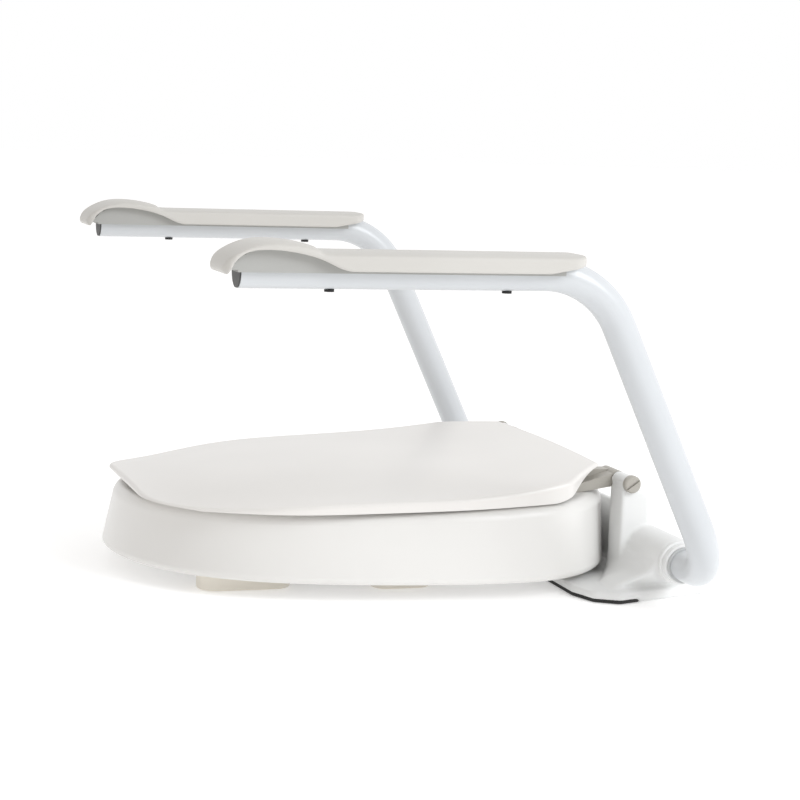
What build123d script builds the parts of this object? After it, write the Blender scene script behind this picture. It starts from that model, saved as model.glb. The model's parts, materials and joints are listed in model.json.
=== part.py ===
from build123d import *
import os

# Raised toilet seat with a lid and two fold-up armrests.
# Millimetres. +X is the sitter's left, -Y is the front, +Z is up, Z = 0 is the plane it rests on.

FAR = 400.0
CUT_SPARE = 2.0
JOIN = 1.0
CONTACT_CLEARANCE = 0.1
FRAME_MIDDLE_Y = 6.57

# --- seat ring -------------------------------------------------------------------------------
RING_BOTTOM = 14.0
RING_TOP_FRONT = 64.8
RING_TOP_REAR = 76.8
RING_FRONT_Y = -226.0
RING_REAR_Y = 188.0
RING_HALF_OUTLINE = [(56, -215), (117, -175), (158, -102), (175, -25), (182, 55), (172, 114), (116, 170)]
RING_DRAFT_FRONT = 13.0
RING_DRAFT_SIDE = 9.0
RING_DRAFT_REAR = 3.0
RING_WALL = 6.0
RING_SHOULDER = 10.5
RING_FOOT_ROUND = 5.0
RING_SPARE_HEIGHT = 10.0
OPENING_RADII = (104.0, 134.0)
OPENING_Y = -26.0
OPENING_LIP = 10.5
WEB_COUNT = 12
WEB_THICKNESS = 3.0
UNDERSIDE_THICKNESS = 3.0

# --- lid -------------------------------------------------------------------------------------
LID_WALL = 3.5
LID_FRONT_Y = -210.0
LID_HALF_OUTLINE = [(121, -174), (157, -106), (169, -33), (173, 50), (164, 116)]
LID_FRONT_HALF_WIDTH = 62.0
LID_REAR_CORNER = (116.0, 163.0)
LID_REAR_MIDDLE_Y = 166.0
LID_BLOCK_HALF_WIDTH = 200.0
LID_BLOCK_FLOOR = 40.0
# (y, crest height, drop of the crown at the block's sides)
LID_STATIONS = [
    (-225, 78, 14),
    (-201, 74, 14),
    (-170, 77, 19),
    (-145, 79.5, 17),
    (-100, 83, 12),
    (-10, 87.5, 10),
    (80, 92, 8),
    (130, 97, 5),
    (165, 100, 2),
    (200, 100.5, 2),
]
LID_EDGE_LIP_Z = 70.5
LID_EDGE_LOW = (-172.0, 67.0)
LID_EDGE_SWEEP = [(101.0, 74.9), (124.0, 81.0), (146.0, 92.5), (163.0, 96.5)]
LID_EDGE_REAR_Z = 97.0
LID_MARGIN = 10.0
LID_RIM_ROUND = 3.0

# --- hinge of the ring and the lid -------------------------------------------------------------
HINGE_Y = 178.0
HINGE_Z = 86.5
PIN_RADIUS = 3.5
PIN_CLEARANCE = 0.05
KNUCKLE_RADIUS = 6.5
LID_LUG_X = (96.0, 109.3)
RING_LUG_X = (109.8, 122.3)
POST_X = (122.8, 148.0)
PIN_HEAD_RADIUS = 7.2
PIN_HEAD_THICKNESS = 5.0
PIN_HEAD_CHAMFER = 1.2
PIN_SLOT_WIDTH = 1.8
PIN_SLOT_DEPTH = 1.8
LUG_FOOT_Y = (108.0, 132.0)
LUG_THICKNESS = 5.0
LUG_BLEND = 0.8
LUG_SCREW_Y = (114.0, 126.0)
LUG_SCREW_RADIUS = 2.0
LUG_SCREW_LENGTH = 12.0
LUG_SCREW_HEAD = (3.8, 2.2)
LUG_BOSS_RADIUS = 5.0
LID_ARM_FRONT_Y = 118.0
LID_ARM_RISE = 4.0
LID_ARM_REAR_Y = 158.0
PIN_SLOT_ANGLE = 35.0

# --- mounting base -----------------------------------------------------------------------------
MAT_THICKNESS = 2.5
MAT_HALF_OUTLINE = [(0, 123), (166, 123), (191, 131), (202, 149), (196, 168), (164, 184), (160, 230), (0, 230)]
MAT_OPEN_Y = 168.0
MAT_CORNER = 6.0
PLATE_TOP = 9.0
PLATE_HALF_OUTLINE = [(0, 122), (166, 122), (192, 130), (203, 149), (197, 170), (176, 238), (0, 238)]
PLATE_CORNER = 7.0
POST_Y = (171.0, 196.0)
POST_TOP = 81.0
POST_NECK = 5.5
BOLT_SPACING = 155.0
BOLT_Y = 219.0
SLOT_WIDTH = 9.0
SLOT_LENGTH = 22.0
PLATE_EDGE = 1.5
POST_REAR_ROUND = 10.0
REAR_WALL_Y = (191.0, 196.0)
REAR_WALL_TOP = 62.0
WING_INNER_X = 121.0
WING_INNER_FRONT_Y = 171.0
WING_TOE_WIDTH = 30.0
# (z, outer x in front, outer x behind, front y, rear y)
WING_SECTIONS = [
    (8.5, 192, 172, 147, 232),
    (13.0, 192, 180, 153, 225),
    (21.0, 197, 194, 167, 217),
    (33.0, 204, 204, 176, 215),
]
WING_CORNER = 5.0

# --- arm pivot -----------------------------------------------------------------------------------
PIVOT_Y = 195.5
PIVOT_Z = 33.5
BARREL_RADIUS = 18.2
BARREL_END_X = 207.0
BUSH_SEAT_X = 160.0
BUSH_RADIUS = 14.3
COUNTERBORE_RADIUS = 15.6
COLLAR_RADIUS = 17.8
COLLAR_THICKNESS = 4.0
WASHER_RADIUS = 15.0
WASHER_THICKNESS = 2.5
WASHER_GAP = 0.4
PIVOT_SCREW_RADIUS = 3.0
PIVOT_SCREW_HEAD = (5.5, 4.5)
INSERT_LENGTH = 24.0
PIVOT_SCREW_SOCKET = 3.0
PIVOT_SCREW_SHORT = 2.0
PIVOT_CLEARANCE = 0.05
BUSH_END_X = 219.5
COLLAR_LIP_RADIUS = 16.0
COLLAR_LIP_LENGTH = 6.0
COLLAR_ROUND = 1.2
STUB_END_X = BUSH_SEAT_X - WASHER_GAP

# --- arm tube ------------------------------------------------------------------------------------
ARM_X = 275.0
TUBE_RADIUS = 12.5
TUBE_WALL = 2.0
TUBE_Z = 266.4
TUBE_FRONT_Y = -186.0
TUBE_CORNER_Y = 85.6
TUBE_LOWER_BEND = 44.0
TUBE_UPPER_BEND = 67.0
TUBE_PLUG_LENGTH = 14.0
TUBE_PLUG_FLANGE = (12.0, 1.2)

# --- armrest ---------------------------------------------------------------------------------------
PAD_HALF_WIDTH = 27.0
PAD_FRONT_Y = -202.0
PAD_REAR_Y = 68.0
PAD_RIM_Z = 268.4
PAD_FLAT_Z = 281.6
PAD_HUMP = (-170.0, 288.8)
PAD_ARCH = (-160.0, 283.6)
PAD_HUMP_END_Y = -110.0
PAD_NOSE = (-191.5, 281.8)
PAD_TIP_Z = 268.0
PAD_LIP = (-199.0, 264.4)
PAD_SLOPE = (-134.0, 284.0)
PAD_ARCH_FRONT = (-194.0, 273.4)
PAD_ARCH_REAR = (-127.0, 274.8)
PAD_TAIL_Y = 38.0
PAD_TAIL_Z = 274.5
PAD_FRONT_ROUND = 12.0
PAD_REAR_ROUND = 12.0
CORE_HALF_WIDTH = 19.0
CORE_FRONT_Y = -190.0
CORE_REAR_Y = 52.0
CORE_TOP_Z = 278.4
CORE_HUMP = [(-196, 268.0), (-187, 277.5), (-160, 284.0), (-121, 268.4)]
GROOVE_RADIUS = TUBE_RADIUS + CONTACT_CLEARANCE
ARMREST_SCREW_Y = (-119.5, 14.0)
ARMREST_SCREW_RADIUS = 2.2
ARMREST_SCREW_HEAD = (3.6, 1.8)
ARMREST_SCREW_SHORT = 0.4

# --- bumpers ---------------------------------------------------------------------------------------
BUMPERS = {"front": (96.0, -131.0, 30.0, 76.0), "middle": (112.0, -5.0, 24.0, 50.0)}
BUMPER_STEM = 4.0
BUMPER_EDGE = 2.5
BUMPER_STEM_STANDS = 3.0
REAR_BUFFER = (126.0, 141.0, 8.0)
BUFFER_CLEARANCE = 0.2
LID_BUFFER_PLACES = [(92, -148), (144, 60)]
LID_BUFFER_RADIUS = 7.0



def mirrored(points):
    """Adds the other half of an outline given for +X, so the closed outline runs once round."""
    other_half = [(-x, y) for x, y in reversed(points) if x > 0]
    return list(points) + other_half


def both(part):
    """The part and its mirror image across the centre plane."""
    return part + mirror(part, about=Plane.YZ)


def together(pieces):
    """One node made of several separate solids."""
    return Compound([piece.solid() for piece in pieces])


def cross_cylinder(radius, x_from, x_to, y, z):
    """Cylinder whose axis runs across the seat, along X."""
    place = Location(((x_from + x_to) / 2, y, z), (0, 90, 0))
    return place * Cylinder(radius, abs(x_to - x_from))


def block(x, y, z):
    """Box between two X, two Y and two Z limits."""
    size = [high - low for low, high in (x, y, z)]
    centre = [(low + high) / 2 for low, high in (x, y, z)]
    return Location(centre) * Box(*size)


def side_profile(lines, x):
    """Solid with the given YZ outline, reaching between two X limits."""
    face = make_face(lines)
    return extrude(Plane.YZ.offset(x[0]) * face, amount=x[1] - x[0])


# --- seat ring -------------------------------------------------------------------------------------

def ring_top_plane(drop=0.0):
    """The ring's top face, which rises a little to the rear."""
    rise = RING_TOP_REAR - RING_TOP_FRONT
    run = RING_REAR_Y - RING_FRONT_Y
    return Plane(origin=(0, RING_FRONT_Y, RING_TOP_FRONT - drop), x_dir=(1, 0, 0), z_dir=(0, -rise, run))


def ring_outline(z, front, side, rear):
    """Closed outline of the ring at one height, drawn in at its front, sides and rear."""
    length = RING_REAR_Y - RING_FRONT_Y
    narrow = 1 - side / max(x for x, _ in RING_HALF_OUTLINE)
    shorten = 1 - (front + rear) / length
    points = mirrored([(0, RING_FRONT_Y)] + RING_HALF_OUTLINE + [(0, RING_REAR_Y)])
    drawn_in = [(x * narrow, RING_FRONT_Y + front + (y - RING_FRONT_Y) * shorten, z) for x, y in points]
    return make_face(Spline(*drawn_in, periodic=True))


def ring_block(inset):
    """Tapered body of the ring with a rounded shoulder and foot, inset on every side."""
    tall_top = RING_TOP_REAR + RING_SPARE_HEIGHT
    reach = (tall_top - RING_BOTTOM) / (RING_TOP_REAR - RING_BOTTOM)
    drafts = (RING_DRAFT_FRONT, RING_DRAFT_SIDE, RING_DRAFT_REAR)
    foot = ring_outline(RING_BOTTOM, inset, inset, inset)
    body = loft([foot, ring_outline(tall_top, *[inset + draft * reach for draft in drafts])])
    body = split(body, bisect_by=ring_top_plane(inset), keep=Keep.BOTTOM)
    body = fillet(body.faces().sort_by(Axis.Z)[-1].edges(), RING_SHOULDER - inset)
    if inset >= RING_FOOT_ROUND:
        return body
    return fillet(body.faces().sort_by(Axis.Z)[0].edges(), RING_FOOT_ROUND - inset)


def opening_block(grow):
    """Oval prism of the opening in the ring, larger by the given amount."""
    oval = Ellipse(OPENING_RADII[0] + grow, OPENING_RADII[1] + grow)
    return extrude(Location((0, OPENING_Y, -FAR / 2)) * oval, amount=FAR)


def ring_cavity():
    """The space inside the ring's walls, open below."""
    return ring_block(RING_WALL) - opening_block(RING_WALL)


def webs():
    """Upright stiffening webs that cross the hollow of the ring."""
    low = RING_BOTTOM + UNDERSIDE_THICKNESS
    web = block((0, FAR), (-WEB_THICKNESS / 2, WEB_THICKNESS / 2), (low, FAR))
    turns = [(index + 0.5) * 360 / WEB_COUNT for index in range(WEB_COUNT)]
    return [Location((0, OPENING_Y, 0)) * Rot(0, 0, turn) * web for turn in turns]


def lug_screw_places():
    """X and Y of the screws that hold the ring's two hinge lugs."""
    middle = sum(RING_LUG_X) / 2
    return [(side * middle, y) for side in (1, -1) for y in LUG_SCREW_Y]


def seat_ring():
    chambers = ring_cavity()
    for web in webs():
        chambers -= web
    chambers -= lug_bosses()
    ring = ring_block(0) - opening_block(0)
    inner_rim = ring.faces().filter_by(ring_top_plane()).sort_by(Axis.Z)[-1].inner_wires()[0].edges()
    ring = fillet(inner_rim, OPENING_LIP) - chambers
    for x, y in lug_screw_places():
        hole_height = LUG_SCREW_LENGTH + RING_WALL
        ring -= Location((x, y, ring_top_z(y) - LUG_SCREW_LENGTH + hole_height / 2)) * Cylinder(
            LUG_SCREW_RADIUS, hole_height
        )
    return ring


def ring_top_z(y):
    """Height of the ring's top face at a distance along the seat."""
    share = (y - RING_FRONT_Y) / (RING_REAR_Y - RING_FRONT_Y)
    return RING_TOP_FRONT + share * (RING_TOP_REAR - RING_TOP_FRONT)


def lug_bosses():
    """Solid bosses under the ring's top that take the lug screws."""
    depth = LUG_SCREW_LENGTH + RING_WALL
    bosses = Part()
    for x, y in lug_screw_places():
        bosses += Location((x, y, ring_top_z(y) - depth / 2)) * Cylinder(LUG_BOSS_RADIUS, depth)
    return bosses


def ring_underside():
    """Flat plate that closes the ring's hollow from below."""
    plate = ring_cavity() & block((-FAR, FAR), (-FAR, FAR), (RING_BOTTOM, RING_BOTTOM + UNDERSIDE_THICKNESS))
    for x, y, _, _ in BUMPERS.values():
        plate -= both(Location((x, y, RING_BOTTOM)) * Cylinder(BUMPER_STEM, 4 * UNDERSIDE_THICKNESS))
    return plate


def ring_bumper(x, y, width, length):
    """Long rounded rubber foot, standing on the rest plane, with a round stem through the underside."""
    foot = extrude(Location((x, y, 0)) * SlotOverall(length, width, rotation=90), amount=RING_BOTTOM)
    foot = fillet(foot.faces().sort_by(Axis.Z)[0].edges(), BUMPER_EDGE)
    stem_height = UNDERSIDE_THICKNESS + BUMPER_STEM_STANDS
    stem = Location((x, y, RING_BOTTOM + stem_height / 2)) * Cylinder(BUMPER_STEM, stem_height)
    return foot + stem


def ring_rear_buffers():
    """Thin pads under the ring's rear that meet the mounting plate."""
    height = RING_BOTTOM - PLATE_TOP - BUFFER_CLEARANCE
    pad = Location((REAR_BUFFER[0], REAR_BUFFER[1], RING_BOTTOM - height / 2)) * Cylinder(REAR_BUFFER[2], height)
    return both(pad)


# --- hinge -----------------------------------------------------------------------------------------

def knuckle(x, radius):
    return cross_cylinder(radius, x[0], x[1], HINGE_Y, HINGE_Z)


def hinge_bore(x, clearance):
    return cross_cylinder(PIN_RADIUS + clearance, x[0] - CUT_SPARE, x[1] + CUT_SPARE, HINGE_Y, HINGE_Z)


def seat_hinge_lug():
    """Lug screwed to the ring's top that reaches back to the hinge pin."""
    front, rear = LUG_FOOT_Y
    low = ring_top_z(front)
    high = low + LUG_THICKNESS
    bridge = KNUCKLE_RADIUS - LUG_BLEND
    side = Polyline(
        (front, low - LUG_BLEND),
        (rear, low - LUG_BLEND),
        (HINGE_Y, HINGE_Z - bridge),
        (HINGE_Y, HINGE_Z + bridge),
        (rear, high),
        (front, high),
        close=True,
    )
    lug = side_profile(side, RING_LUG_X) + knuckle(RING_LUG_X, KNUCKLE_RADIUS)
    lug = split(lug, bisect_by=ring_top_plane(), keep=Keep.TOP)
    lug -= hinge_bore(RING_LUG_X, PIN_CLEARANCE)
    for x, y in lug_screw_places():
        lug -= Location((x, y, low)) * Cylinder(LUG_SCREW_RADIUS + CONTACT_CLEARANCE, 4 * LUG_THICKNESS)
    return lug


def seat_hinge_screws():
    """Four round-headed screws, as separate solids, that hold the two lugs."""
    screws = []
    for x, y in lug_screw_places():
        seat = ring_top_z(LUG_FOOT_Y[0]) + LUG_THICKNESS
        low = ring_top_z(y) - LUG_SCREW_LENGTH
        shank = Location((x, y, (low + seat) / 2)) * Cylinder(LUG_SCREW_RADIUS, seat - low)
        head = Location((x, y, seat + LUG_SCREW_HEAD[1] / 2)) * Cylinder(*LUG_SCREW_HEAD)
        screws.append(shank + head)
    return together(screws)


def hinge_pin():
    """Pin with a slotted head, pressed into the post, that carries the ring's lug and the lid's arm."""
    head_x = (POST_X[1], POST_X[1] + PIN_HEAD_THICKNESS)
    pin = cross_cylinder(PIN_RADIUS, LID_LUG_X[0], POST_X[1], HINGE_Y, HINGE_Z)
    head = cross_cylinder(PIN_HEAD_RADIUS, head_x[0], head_x[1], HINGE_Y, HINGE_Z)
    head = chamfer(head.faces().sort_by(Axis.X)[-1].edges(), PIN_HEAD_CHAMFER)
    slot = Location((head_x[1], HINGE_Y, HINGE_Z), (PIN_SLOT_ANGLE, 0, 0))
    slot *= Box(2 * PIN_SLOT_DEPTH, 4 * PIN_HEAD_RADIUS, PIN_SLOT_WIDTH)
    return pin + head - slot


# --- lid -------------------------------------------------------------------------------------------

def lid_outline(inset=0.0):
    """Plan outline of the lid, with a straight front edge and a bowed rear edge."""
    narrow = 1 - inset / max(x for x, _ in LID_HALF_OUTLINE)
    middle = (LID_REAR_MIDDLE_Y + LID_FRONT_Y) / 2
    shorten = 1 - inset / (LID_REAR_MIDDLE_Y - middle)
    side = [(LID_FRONT_HALF_WIDTH, LID_FRONT_Y)] + LID_HALF_OUTLINE + [LID_REAR_CORNER]
    side = [(x * narrow, middle + (y - middle) * shorten) for x, y in side]
    left_edge = Spline(*side, tangents=[(1, 0), (-1, 1)])
    front, corner = side[0], side[-1]
    front_edge = Line((-front[0], front[1]), front)
    rear_edge = ThreePointArc(corner, (0, LID_REAR_MIDDLE_Y - inset), (-corner[0], corner[1]))
    return make_face([front_edge, left_edge, rear_edge, mirror(left_edge, about=Plane.YZ)])


def lid_dome(drop):
    """Block under the lid's domed surface, lowered by the given amount."""
    sections = []
    for y, crest, crown in LID_STATIONS:
        top = crest - drop
        side = (LID_BLOCK_HALF_WIDTH, top - crown)
        arc = ThreePointArc((-side[0], side[1]), (0, top), side)
        floor = Polyline(side, (side[0], LID_BLOCK_FLOOR), (-side[0], LID_BLOCK_FLOOR), (-side[0], side[1]))
        sections.append(Plane(origin=(0, y, 0), x_dir=(1, 0, 0), z_dir=(0, -1, 0)) * make_face([arc, floor]))
    return loft(sections)


def lid_edge_block():
    """Everything above the lid's lower edge, which lifts at the front and sweeps up to the rear corners."""
    front_y = LID_FRONT_Y - LID_MARGIN
    rear_y = LID_REAR_MIDDLE_Y + LID_MARGIN
    side = Polyline((front_y, LID_EDGE_LIP_Z), LID_EDGE_LOW, LID_EDGE_SWEEP[0])
    sweep_up = Spline(*LID_EDGE_SWEEP, (rear_y, LID_EDGE_REAR_Z), tangents=[(1, 0), (1, 0)])
    above = Polyline(sweep_up @ 1, (rear_y, FAR), (front_y, FAR), side @ 0)
    return side_profile([side, sweep_up, above], (-FAR, FAR))


def lid_shell():
    tall = extrude(lid_outline(), amount=FAR)
    inner = extrude(lid_outline(LID_WALL), amount=FAR)
    cap = tall & lid_dome(0)
    cap = fillet(cap.faces().sort_by(Axis.Z)[-1].edges(), LID_RIM_ROUND)
    shell = (cap & lid_edge_block()) - (inner & lid_dome(LID_WALL))
    return shell - both(lid_hinge_arm())


def lid_hinge_arm():
    """Arm fixed under the lid that reaches back to the hinge pin."""
    bridge = KNUCKLE_RADIUS - LUG_BLEND
    side = Polyline(
        (LID_ARM_FRONT_Y, FAR / 2),
        (LID_ARM_FRONT_Y, HINGE_Z - bridge + LID_ARM_RISE),
        (HINGE_Y, HINGE_Z - bridge),
        (HINGE_Y, HINGE_Z + bridge),
        (LID_ARM_REAR_Y, HINGE_Z + bridge),
        (LID_ARM_REAR_Y, FAR / 2),
        close=True,
    )
    arm = side_profile(side, LID_LUG_X) & lid_dome(LID_WALL)
    arm += knuckle(LID_LUG_X, KNUCKLE_RADIUS)
    return arm - hinge_bore(LID_LUG_X, PIN_CLEARANCE)


def lid_buffers():
    """Small round buffers under the lid that meet the ring's top face, as separate solids."""
    buffers = []
    for x, y in LID_BUFFER_PLACES:
        low = ring_top_z(y + LID_BUFFER_RADIUS) + BUFFER_CLEARANCE
        post = Location((x, y, (low + FAR) / 2)) * Cylinder(LID_BUFFER_RADIUS, FAR - low)
        post = post & lid_dome(LID_WALL)
        buffers += [post, mirror(post, about=Plane.YZ)]
    return together(buffers)


# --- mounting base ---------------------------------------------------------------------------------

def level_outline(half_outline, corner_round):
    """Closed outline mirrored from its +X half, with every corner off the centre plane rounded."""
    outline = make_face(Polyline(*mirrored(half_outline), close=True))
    corners = [corner for corner in outline.vertices() if abs(corner.X) > corner_round]
    return fillet(corners, corner_round)


def bolt_slots():
    places = [Location((side * BOLT_SPACING / 2, BOLT_Y, -CUT_SPARE)) for side in (1, -1)]
    slot = extrude(SlotOverall(SLOT_LENGTH, SLOT_WIDTH), amount=PLATE_TOP + 2 * CUT_SPARE)
    return Part() + [place * slot for place in places]


def wing_section(z, front_x, rear_x, front_y, rear_y):
    """Level section of the wing at one height, cut back inside so that it clears the ring."""
    corners = [
        (WING_INNER_X, WING_INNER_FRONT_Y),
        (front_x - WING_TOE_WIDTH, front_y),
        (front_x, front_y),
        (rear_x, rear_y),
        (WING_INNER_X, rear_y),
    ]
    face = make_face(Polyline(*corners, close=True))
    return Location((0, 0, z)) * fillet(face.vertices(), WING_CORNER)


def wing():
    """Foot that flares from the barrel down to the plate's corner with hollow flanks."""
    return loft([wing_section(*section) for section in WING_SECTIONS])


def pivot_bore():
    """Stepped bore: the outer half holds the bush, the inner half clears the washer and screw."""
    outer = cross_cylinder(BUSH_RADIUS, BUSH_SEAT_X - CUT_SPARE, BARREL_END_X + CUT_SPARE, PIVOT_Y, PIVOT_Z)
    inner = cross_cylinder(COUNTERBORE_RADIUS, POST_X[0] - CUT_SPARE, BUSH_SEAT_X, PIVOT_Y, PIVOT_Z)
    return outer + inner


def base_side():
    """The half of the base with its post, barrel and wing."""
    post = block(POST_X, POST_Y, (PLATE_TOP - JOIN, POST_TOP))
    post = fillet(post.edges().filter_by(Axis.X).group_by(Axis.Z)[-1].sort_by(Axis.Y)[-1], POST_REAR_ROUND)
    post += block(POST_X, (HINGE_Y - POST_NECK, HINGE_Y + POST_NECK), (POST_TOP - JOIN, HINGE_Z))
    post += knuckle(POST_X, KNUCKLE_RADIUS)
    barrel = cross_cylinder(BARREL_RADIUS, POST_X[0], BARREL_END_X, PIVOT_Y, PIVOT_Z)
    side = post + barrel + wing() - pivot_bore() - hinge_bore(POST_X, 0)
    return side


def rear_wall():
    """Low wall that ties the two posts together behind the ring."""
    return block((-POST_X[0] - JOIN, POST_X[0] + JOIN), REAR_WALL_Y, (PLATE_TOP - JOIN, REAR_WALL_TOP))


def mounting_base():
    """Plate with two posts and barrels; the mat shows along its front and is let into it behind."""
    plate = extrude(level_outline(PLATE_HALF_OUTLINE, PLATE_CORNER), amount=PLATE_TOP)
    plate = fillet(plate.faces().sort_by(Axis.Z)[-1].edges(), PLATE_EDGE)
    plate -= block((-FAR, FAR), (-FAR, MAT_OPEN_Y), (-CUT_SPARE, MAT_THICKNESS))
    plate -= mat_blank()
    return plate + both(base_side()) + rear_wall() - bolt_slots()


def mat_blank():
    return extrude(level_outline(MAT_HALF_OUTLINE, MAT_CORNER), amount=MAT_THICKNESS)


def base_mat():
    """Rubber mat that the base rests on."""
    return mat_blank() - bolt_slots()


def pivot_bush():
    """Plastic bush pressed in the barrel, in which the tube turns."""
    bush = cross_cylinder(BUSH_RADIUS, BUSH_SEAT_X, BUSH_END_X, PIVOT_Y, PIVOT_Z)
    return bush - cross_cylinder(TUBE_RADIUS + PIVOT_CLEARANCE, 0, FAR, PIVOT_Y, PIVOT_Z)


def barrel_collar():
    """Ring that finishes the barrel's outer end."""
    end_x = BARREL_END_X + COLLAR_THICKNESS
    collar = cross_cylinder(COLLAR_RADIUS, BARREL_END_X, end_x, PIVOT_Y, PIVOT_Z)
    collar += cross_cylinder(COLLAR_LIP_RADIUS, end_x - JOIN, end_x + COLLAR_LIP_LENGTH, PIVOT_Y, PIVOT_Z)
    ends = collar.edges().filter_by(GeomType.CIRCLE).sort_by(Axis.X)
    collar = fillet([ends[-1]] + [edge for edge in ends if edge.radius == COLLAR_RADIUS][-1:], COLLAR_ROUND)
    return collar - cross_cylinder(BUSH_RADIUS, 0, FAR, PIVOT_Y, PIVOT_Z)


# --- arms ------------------------------------------------------------------------------------------

def tube_path():
    return FilletPolyline(
        (STUB_END_X, PIVOT_Y, PIVOT_Z),
        (ARM_X, PIVOT_Y, PIVOT_Z),
        (ARM_X, TUBE_CORNER_Y, TUBE_Z),
        (ARM_X, TUBE_FRONT_Y, TUBE_Z),
        radius=[TUBE_LOWER_BEND, TUBE_UPPER_BEND],
    )


def armrest_screw_holes():
    holes = Part()
    for y in ARMREST_SCREW_Y:
        holes += Location((ARM_X, y, TUBE_Z)) * Cylinder(
            ARMREST_SCREW_RADIUS + CONTACT_CLEARANCE, 4 * TUBE_RADIUS
        )
    return holes


def arm_tube():
    path = tube_path()
    start = Plane(origin=path @ 0, z_dir=path % 0)
    outer = sweep(start * Circle(TUBE_RADIUS), path=path)
    inner = sweep(start * Circle(TUBE_RADIUS - TUBE_WALL), path=path)
    return outer - inner - armrest_screw_holes()


def tube_front_plug():
    """Dark plug in the tube's front end, with a flange that covers the tube's rim."""
    plug = Location((0, 0, TUBE_PLUG_LENGTH / 2)) * Cylinder(TUBE_RADIUS - TUBE_WALL, TUBE_PLUG_LENGTH)
    flange = Location((0, 0, -TUBE_PLUG_FLANGE[1] / 2)) * Cylinder(*TUBE_PLUG_FLANGE)
    return Plane(origin=(ARM_X, TUBE_FRONT_Y, TUBE_Z), z_dir=(0, 1, 0)) * (plug + flange)


def tube_pivot_insert():
    """Threaded insert pressed in the tube's inner end."""
    insert = cross_cylinder(TUBE_RADIUS - TUBE_WALL, STUB_END_X, STUB_END_X + INSERT_LENGTH, PIVOT_Y, PIVOT_Z)
    return insert - cross_cylinder(PIVOT_SCREW_RADIUS, 0, FAR, PIVOT_Y, PIVOT_Z)


def pivot_washer():
    """Washer on the insert that keeps the tube from sliding out of the bush."""
    washer = cross_cylinder(WASHER_RADIUS, STUB_END_X - WASHER_THICKNESS, STUB_END_X, PIVOT_Y, PIVOT_Z)
    return washer - cross_cylinder(PIVOT_SCREW_RADIUS, 0, FAR, PIVOT_Y, PIVOT_Z)


def pivot_screw():
    head_from = STUB_END_X - WASHER_THICKNESS - PIVOT_SCREW_HEAD[1]
    head_to = STUB_END_X - WASHER_THICKNESS
    shank_to = STUB_END_X + INSERT_LENGTH - PIVOT_SCREW_SHORT
    head = cross_cylinder(PIVOT_SCREW_HEAD[0], head_from, head_to, PIVOT_Y, PIVOT_Z)
    hexagon = extrude(RegularPolygon(PIVOT_SCREW_SOCKET, 6), amount=PIVOT_SCREW_HEAD[1] / 2)
    socket = Location((head_from, PIVOT_Y, PIVOT_Z), (0, 90, 0)) * hexagon
    return head + cross_cylinder(PIVOT_SCREW_RADIUS, head_to, shank_to, PIVOT_Y, PIVOT_Z) - socket


def pad_lines():
    """Side outline of the armrest cover: a raised hump in front of a long flat."""
    top = Spline(
        (PAD_FRONT_Y, PAD_TIP_Z),
        PAD_NOSE,
        PAD_HUMP,
        PAD_SLOPE,
        (PAD_HUMP_END_Y, PAD_FLAT_Z),
        tangents=[(0.2, 1), (1, 0)],
    )
    flat = Line((PAD_HUMP_END_Y, PAD_FLAT_Z), (PAD_REAR_Y, PAD_FLAT_Z))
    tail = Polyline((PAD_REAR_Y, PAD_FLAT_Z), (PAD_REAR_Y, PAD_TAIL_Z), (PAD_TAIL_Y, PAD_RIM_Z))
    under = Line((PAD_TAIL_Y, PAD_RIM_Z), (PAD_HUMP_END_Y, PAD_RIM_Z))
    arch = Spline(
        (PAD_HUMP_END_Y, PAD_RIM_Z),
        PAD_ARCH_REAR,
        PAD_ARCH,
        PAD_ARCH_FRONT,
        PAD_LIP,
        tangents=[(-1, 0.1), (-1, -0.5)],
    )
    nose = Line(arch @ 1, top @ 0)
    return [top, flat, tail, under, arch, nose]


def armrest_cover():
    """Soft armrest cover, wider than the tube, with a pocket below for its core."""
    half = PAD_HALF_WIDTH
    cover = side_profile(pad_lines(), (ARM_X - half, ARM_X + half))
    plan = make_face(Polyline(
        (ARM_X - half, PAD_FRONT_Y),
        (ARM_X + half, PAD_FRONT_Y),
        (ARM_X + half, PAD_REAR_Y),
        (ARM_X - half, PAD_REAR_Y),
        close=True,
    ))
    front = plan.vertices().sort_by(Axis.Y)[:2]
    plan = fillet(front, PAD_FRONT_ROUND)
    rear = plan.vertices().sort_by(Axis.Y)[-2:]
    plan = fillet(rear, PAD_REAR_ROUND)
    cover &= extrude(plan, amount=FAR)
    return cover - core_blank() - tube_groove()


def core_blank():
    """Firm core under the cover: it fills the arch and runs back along the tube."""
    sides = (ARM_X - CORE_HALF_WIDTH, ARM_X + CORE_HALF_WIDTH)
    bow = Spline(*CORE_HUMP)
    hump = side_profile([bow, Line(bow @ 1, bow @ 0)], sides)
    return hump + block(sides, (CORE_FRONT_Y, CORE_REAR_Y), (TUBE_Z, CORE_TOP_Z))


def tube_groove():
    """Bed of the tube in the armrest, which ends just in front of the tube's plug."""
    front = TUBE_FRONT_Y - TUBE_PLUG_FLANGE[1] - CONTACT_CLEARANCE
    rear = PAD_REAR_Y + CUT_SPARE
    return Location((ARM_X, (front + rear) / 2, TUBE_Z), (90, 0, 0)) * Cylinder(GROOVE_RADIUS, rear - front)


def armrest_core():
    return core_blank() - tube_groove() - armrest_screw_holes()


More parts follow.
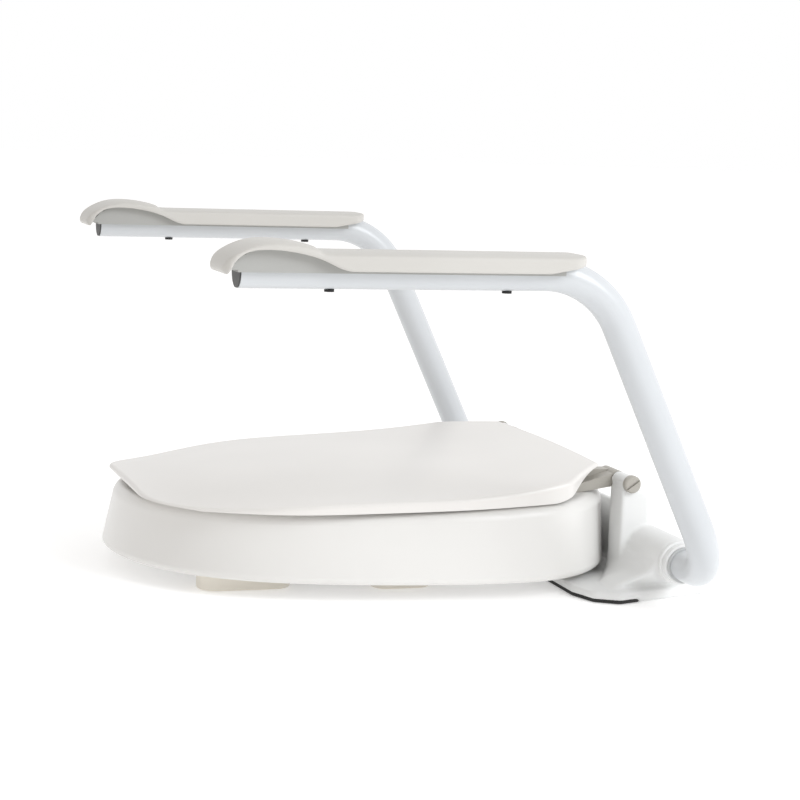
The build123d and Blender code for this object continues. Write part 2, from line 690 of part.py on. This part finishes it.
def armrest_screws():
    """Two round-headed screws, as separate solids, from below the tube into the core."""
    screws = []
    for y in ARMREST_SCREW_Y:
        tube_low = TUBE_Z - TUBE_RADIUS
        shank_height = CORE_TOP_Z - ARMREST_SCREW_SHORT - tube_low + CONTACT_CLEARANCE / 2
        shank_middle = CORE_TOP_Z - ARMREST_SCREW_SHORT - shank_height / 2
        shank = Location((ARM_X, y, shank_middle)) * Cylinder(ARMREST_SCREW_RADIUS, shank_height)
        head_middle = tube_low - CONTACT_CLEARANCE / 2 - ARMREST_SCREW_HEAD[1] / 2
        head = Location((ARM_X, y, head_middle)) * Cylinder(*ARMREST_SCREW_HEAD)
        screws.append(shank + head)
    return together(screws)


# --- writing ---------------------------------------------------------------------------------------

def write(node, part):
    """Writes a piece in the shared frame, whose origin lies under the middle of the whole seat."""
    placed = part.moved(Location((0, -FRAME_MIDDLE_Y, 0)))
    export_step(placed, os.path.join("parts", node + ".step"))


def write_pair(node, part):
    """Writes the sitter's left piece and its mirror image on the right."""
    write(node + "_left", part)
    write(node + "_right", mirror(part, about=Plane.YZ))


os.makedirs("parts", exist_ok=True)
write("seat_ring", seat_ring())
write("ring_underside", ring_underside())
for place, (bumper_x, bumper_y, width, length) in BUMPERS.items():
    write_pair("ring_bumper_" + place, ring_bumper(bumper_x, bumper_y, width, length))
write("ring_rear_buffers", ring_rear_buffers())
write("lid", lid_shell())
write("lid_buffers", lid_buffers())
write("mounting_base", mounting_base())
write("base_mat", base_mat())
write("seat_hinge_screws", seat_hinge_screws())
for name, piece in {
    "seat_hinge_lug": seat_hinge_lug(),
    "lid_hinge_arm": lid_hinge_arm(),
    "hinge_pin": hinge_pin(),
    "pivot_bush": pivot_bush(),
    "barrel_collar": barrel_collar(),
    "arm_tube": arm_tube(),
    "tube_front_plug": tube_front_plug(),
    "tube_pivot_insert": tube_pivot_insert(),
    "pivot_washer": pivot_washer(),
    "pivot_screw": pivot_screw(),
    "armrest_core": armrest_core(),
    "armrest_cover": armrest_cover(),
    "armrest_screws": armrest_screws(),
}.items():
    write_pair(name, piece)
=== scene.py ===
import json
import math

import bpy
from mathutils import Matrix, Vector

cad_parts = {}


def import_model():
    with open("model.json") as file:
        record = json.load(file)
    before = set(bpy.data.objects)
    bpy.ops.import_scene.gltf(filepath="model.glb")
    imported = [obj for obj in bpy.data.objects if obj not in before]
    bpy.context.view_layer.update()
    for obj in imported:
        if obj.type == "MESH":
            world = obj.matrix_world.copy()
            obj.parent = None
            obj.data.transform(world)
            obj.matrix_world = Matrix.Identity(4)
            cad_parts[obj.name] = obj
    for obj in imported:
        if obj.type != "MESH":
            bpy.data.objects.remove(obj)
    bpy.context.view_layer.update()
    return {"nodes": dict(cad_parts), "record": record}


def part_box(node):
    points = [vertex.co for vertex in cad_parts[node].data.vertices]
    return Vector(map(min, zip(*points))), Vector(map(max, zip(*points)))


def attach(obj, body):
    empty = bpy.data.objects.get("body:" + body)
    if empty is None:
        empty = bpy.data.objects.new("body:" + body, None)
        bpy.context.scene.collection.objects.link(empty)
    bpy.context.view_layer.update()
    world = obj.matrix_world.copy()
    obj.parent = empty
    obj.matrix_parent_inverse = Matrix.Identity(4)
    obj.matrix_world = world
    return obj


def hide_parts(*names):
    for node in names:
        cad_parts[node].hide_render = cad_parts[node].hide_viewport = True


# Looks of the raised toilet seat. Metres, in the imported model's frame.

CAMERA_PLACE = Vector((1.6978, -0.5393, 0.3768))
CAMERA_YAW = math.radians(18.23)
CAMERA_PITCH = math.radians(7.68)
CAMERA_ROLL = math.radians(2.11)
CAMERA_LENS = 95.02
CAMERA_SENSOR = 36.0
CAMERA_REACH = 100.0

FLOOR_SIZE = 30.0
FLOOR_DROP = 0.0005
FLOOR_TONE = (0.90, 0.90, 0.90)
FLOOR_GLOW_TONE = (1, 1, 1)
FLOOR_GLOW = 0.30
FLOOR_ROUGHNESS = 0.9
FLOOR_SHINE = 0.1

# The sky runs from dim to bright with the cosine of the angle from its bright side.
SKY_BRIGHT_SIDE = (-0.80, 0.55, 0.25)
SKY_DIM = (0.58, 0.56, 0.54)
SKY_BRIGHT = (1.0, 1.0, 1.0)
SKY_DIM_COSINE = -0.7
SKY_BRIGHT_COSINE = 0.75

KEY_LIGHT_PLACE = (1.9, 1.3, 1.5)
KEY_LIGHT_TARGET = (0, 0, 0.1)
KEY_LIGHT_SIZE = 1.2
KEY_LIGHT_WATTS = 33
KEY_LIGHT_COLOUR = (0.94, 0.97, 1.0)

# Noise scales are in cycles per metre.
CLOUD_SCALE = 9.0
SMEAR_SCALE = 35.0
NOISE_DETAIL = 4.0
NOISE_ROUGHNESS = 0.5
RAMP_START = 0.3
RAMP_END = 0.7
TONE_SPREAD = 0.015
ROUGHNESS_SPREAD = 0.05
GRAIN_STRENGTH = 0.35
COAT_ROUGHNESS = 0.25
PAD_SHEEN = 0.15
PAD_SHEEN_ROUGHNESS = 0.5

SMOOTH_FACTOR = 0.5
PAD_VOXEL = 0.0012
PAD_SMOOTH_PASSES = 7
PAD_CROWN = 0.0028
PAD_CROWN_POWER = 4
BASE_VOXEL = 0.0014
BASE_SMOOTH_PASSES = 8

# slot: (tone, roughness, grain in cycles per metre, grain depth, coat)
FINISHES = {
    "seat_plastic": ((0.77, 0.76, 0.74), 0.34, 900, 0.00006, 0.25),
    "lid_plastic": ((0.775, 0.755, 0.73), 0.36, 900, 0.00006, 0.20),
    "base_plastic": ((0.80, 0.805, 0.80), 0.42, 1100, 0.00008, 0.05),
    "hinge_plastic": ((0.42, 0.40, 0.36), 0.45, 1100, 0.00008, 0.0),
    "bush_plastic": ((0.52, 0.53, 0.53), 0.40, 1100, 0.00006, 0.0),
    "mat_rubber": ((0.03, 0.03, 0.03), 0.80, 700, 0.0002, 0.0),
    "bumper_rubber": ((0.82, 0.78, 0.70), 0.60, 700, 0.0001, 0.0),
    "tube_paint": ((0.60, 0.62, 0.64), 0.30, 1500, 0.00007, 0.30),
    "plug_plastic": ((0.06, 0.06, 0.06), 0.55, 900, 0.0001, 0.0),
    "core_plastic": ((0.40, 0.40, 0.385), 0.65, 900, 0.0001, 0.0),
    "pad_skin": ((0.575, 0.56, 0.53), 0.58, 1600, 0.0002, 0.0),
    "screw_steel": ((0.62, 0.62, 0.62), 0.35, 1500, 0.00003, 0.0),
    "screw_dark": ((0.05, 0.05, 0.05), 0.45, 1500, 0.00003, 0.0),
}
METAL_SLOTS = ("screw_steel", "screw_dark")


# --- camera, floor and light -----------------------------------------------------------------------

def camera_axes():
    """Right, up and backward directions of the camera, turned by its yaw, pitch and roll."""
    level = math.cos(CAMERA_PITCH)
    forward = Vector((
        -math.cos(CAMERA_YAW) * level,
        math.sin(CAMERA_YAW) * level,
        -math.sin(CAMERA_PITCH),
    ))
    right = forward.cross(Vector((0, 0, 1))).normalized()
    up = right.cross(forward)
    cosine = math.cos(CAMERA_ROLL)
    sine = math.sin(CAMERA_ROLL)
    return right * cosine + up * sine, up * cosine - right * sine, -forward


def add_camera():
    """The scene's camera, at its place and turned by its angles."""
    camera = bpy.data.objects.new("camera", bpy.data.cameras.new("camera"))
    camera.data.lens = CAMERA_LENS
    camera.data.sensor_width = CAMERA_SENSOR
    camera.data.clip_end = CAMERA_REACH
    turn = Matrix(camera_axes()).transposed().to_4x4()
    camera.matrix_world = Matrix.Translation(CAMERA_PLACE) @ turn
    bpy.context.collection.objects.link(camera)
    bpy.context.scene.camera = camera


def add_floor():
    """A wide, faintly glowing white floor just below the seat."""
    mesh = bpy.data.meshes.new("floor")
    half = FLOOR_SIZE / 2
    corners = [(-half, -half), (half, -half), (half, half), (-half, half)]
    mesh.from_pydata([(x, y, -FLOOR_DROP) for x, y in corners], [], [(0, 1, 2, 3)])
    floor = bpy.data.objects.new("floor", mesh)
    bpy.context.collection.objects.link(floor)
    material, _, shader = new_material("floor_white")
    mesh.materials.append(material)
    shader.inputs["Base Color"].default_value = (*FLOOR_TONE, 1)
    shader.inputs["Emission Color"].default_value = (*FLOOR_GLOW_TONE, 1)
    shader.inputs["Emission Strength"].default_value = FLOOR_GLOW
    shader.inputs["Roughness"].default_value = FLOOR_ROUGHNESS
    shader.inputs["Specular IOR Level"].default_value = FLOOR_SHINE


def add_sky():
    """Soft light that is white beyond the seat, seen from the camera, and dimmer on the camera's side."""
    world = bpy.data.worlds.new("studio")
    bpy.context.scene.world = world
    world.use_nodes = True
    tree = world.node_tree
    place = tree.nodes.new("ShaderNodeTexCoord")
    along = tree.nodes.new("ShaderNodeVectorMath")
    along.operation = "DOT_PRODUCT"
    along.inputs[1].default_value = Vector(SKY_BRIGHT_SIDE).normalized()
    tree.links.new(place.outputs["Generated"], along.inputs[0])
    share = tree.nodes.new("ShaderNodeMapRange")
    share.inputs["From Min"].default_value = SKY_DIM_COSINE
    share.inputs["From Max"].default_value = SKY_BRIGHT_COSINE
    tree.links.new(along.outputs["Value"], share.inputs["Value"])
    sky = tree.nodes.new("ShaderNodeMix")
    sky.data_type = "RGBA"
    sky.inputs["A"].default_value = (*SKY_DIM, 1)
    sky.inputs["B"].default_value = (*SKY_BRIGHT, 1)
    tree.links.new(share.outputs["Result"], sky.inputs["Factor"])
    tree.links.new(sky.outputs["Result"], tree.nodes["Background"].inputs["Color"])


def add_key_light():
    """One cool, square light behind and above the seat, to the right as the camera sees it."""
    light = bpy.data.objects.new("key_right_rear", bpy.data.lights.new("key_right_rear", "AREA"))
    light.data.shape = "SQUARE"
    light.data.size = KEY_LIGHT_SIZE
    light.data.energy = KEY_LIGHT_WATTS
    light.data.color = KEY_LIGHT_COLOUR
    light.location = KEY_LIGHT_PLACE
    aim = Vector(KEY_LIGHT_TARGET) - Vector(KEY_LIGHT_PLACE)
    light.rotation_euler = aim.to_track_quat("-Z", "Y").to_euler()
    bpy.context.collection.objects.link(light)


# --- materials -------------------------------------------------------------------------------------

def new_material(name):
    """A new material, its node tree and its shader."""
    material = bpy.data.materials.new(name)
    material.use_nodes = True
    return material, material.node_tree, material.node_tree.nodes["Principled BSDF"]


def object_noise(tree, scale):
    """Noise that sticks to the piece."""
    place = tree.nodes.new("ShaderNodeTexCoord")
    noise = tree.nodes.new("ShaderNodeTexNoise")
    noise.inputs["Scale"].default_value = scale
    noise.inputs["Detail"].default_value = NOISE_DETAIL
    noise.inputs["Roughness"].default_value = NOISE_ROUGHNESS
    tree.links.new(place.outputs["Object"], noise.inputs["Vector"])
    return noise.outputs["Fac"]


def ramp(tree, factor, low, high):
    """Colour between two tones as the factor runs over its middle range."""
    node = tree.nodes.new("ShaderNodeValToRGB")
    start, end = node.color_ramp.elements
    start.position = RAMP_START
    end.position = RAMP_END
    start.color = (*low, 1)
    end.color = (*high, 1)
    tree.links.new(factor, node.inputs["Fac"])
    return node.outputs["Color"]


def vary(tree, factor, low, high):
    """Number between low and high as the factor goes from 0 to 1."""
    node = tree.nodes.new("ShaderNodeMapRange")
    node.inputs["To Min"].default_value = low
    node.inputs["To Max"].default_value = high
    tree.links.new(factor, node.inputs["Value"])
    return node.outputs["Result"]


def add_bump(tree, shader, height, distance):
    """Fine relief on the surface, whose depth the distance sets."""
    bump = tree.nodes.new("ShaderNodeBump")
    bump.inputs["Strength"].default_value = GRAIN_STRENGTH
    bump.inputs["Distance"].default_value = distance
    tree.links.new(height, bump.inputs["Height"])
    tree.links.new(bump.outputs["Normal"], shader.inputs["Normal"])


def finish_material(slot):
    """Plastic, rubber, paint or steel: cloudy tone, uneven gloss and a fine surface grain."""
    tone, roughness, grain, grain_depth, coat = FINISHES[slot]
    material, tree, shader = new_material(slot)
    clouds = object_noise(tree, CLOUD_SCALE)
    low = [max(channel - TONE_SPREAD, 0) for channel in tone]
    high = [min(channel + TONE_SPREAD, 1) for channel in tone]
    tree.links.new(ramp(tree, clouds, low, high), shader.inputs["Base Color"])
    smears = object_noise(tree, SMEAR_SCALE)
    uneven = vary(tree, smears, roughness - ROUGHNESS_SPREAD, roughness + ROUGHNESS_SPREAD)
    tree.links.new(uneven, shader.inputs["Roughness"])
    add_bump(tree, shader, object_noise(tree, grain), grain_depth)
    shader.inputs["Coat Weight"].default_value = coat
    shader.inputs["Coat Roughness"].default_value = COAT_ROUGHNESS
    if slot in METAL_SLOTS:
        shader.inputs["Metallic"].default_value = 1.0
    if slot == "pad_skin":
        shader.inputs["Sheen Weight"].default_value = PAD_SHEEN
        shader.inputs["Sheen Roughness"].default_value = PAD_SHEEN_ROUGHNESS
    return material


def dress(piece, material):
    """Gives every part of the piece's surface the material."""
    if not piece.material_slots:
        piece.data.materials.append(material)
    for place in piece.material_slots:
        place.material = material


# --- pieces with softened shapes -------------------------------------------------------------------

def apply_modifiers(piece):
    """Replaces the piece's mesh by the result of its modifiers."""
    bpy.context.view_layer.update()
    graph = bpy.context.evaluated_depsgraph_get()
    mesh = bpy.data.meshes.new_from_object(piece.evaluated_get(graph))
    piece.modifiers.clear()
    piece.data = mesh


def softened_copy(nodes, name, node, body, voxel, passes):
    """Copy of a CAD piece with its sharp edges rounded as a mould rounds them."""
    piece = bpy.data.objects.new(name, nodes[node].data.copy())
    bpy.context.collection.objects.link(piece)
    remesh = piece.modifiers.new("even", "REMESH")
    remesh.mode = "VOXEL"
    remesh.voxel_size = voxel
    smooth = piece.modifiers.new("round", "SMOOTH")
    smooth.factor = SMOOTH_FACTOR
    smooth.iterations = passes
    apply_modifiers(piece)
    for face in piece.data.polygons:
        face.use_smooth = True
    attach(piece, body)
    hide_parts(node)
    return piece


def crown_pad(piece, node):
    """Lowers the pad's upper surface towards its long edges, so that its top is gently rounded."""
    low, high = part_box(node)
    middle = (low.x + high.x) / 2
    half = (high.x - low.x) / 2
    for vertex in piece.data.vertices:
        across = abs(vertex.co.x - middle) / half
        height = (vertex.co.z - low.z) / (high.z - low.z)
        vertex.co.z -= PAD_CROWN * across**PAD_CROWN_POWER * max(height, 0)


def add_pads(nodes, materials):
    """The two armrest pads."""
    for side in ("left", "right"):
        node = "armrest_cover_" + side
        pad = softened_copy(nodes, "pad_" + side, node, "arm_" + side, PAD_VOXEL, PAD_SMOOTH_PASSES)
        crown_pad(pad, node)
        dress(pad, materials["pad_skin"])


def add_base(nodes, materials):
    """The moulded base, with its edges rounded."""
    base = softened_copy(
        nodes, "base_moulding", "mounting_base", "base", BASE_VOXEL, BASE_SMOOTH_PASSES
    )
    dress(base, materials["base_plastic"])


# --- scene -----------------------------------------------------------------------------------------

def main():
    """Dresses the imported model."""
    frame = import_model()
    add_camera()
    add_floor()
    add_sky()
    add_key_light()
    bpy.context.scene.view_settings.view_transform = "Standard"
    nodes = frame["nodes"]
    materials = {slot: finish_material(slot) for slot in FINISHES}
    for part in frame["record"]["subparts"]:
        dress(nodes[part["node"]], materials[part["material_slot"]])
    add_pads(nodes, materials)
    add_base(nodes, materials)


main()
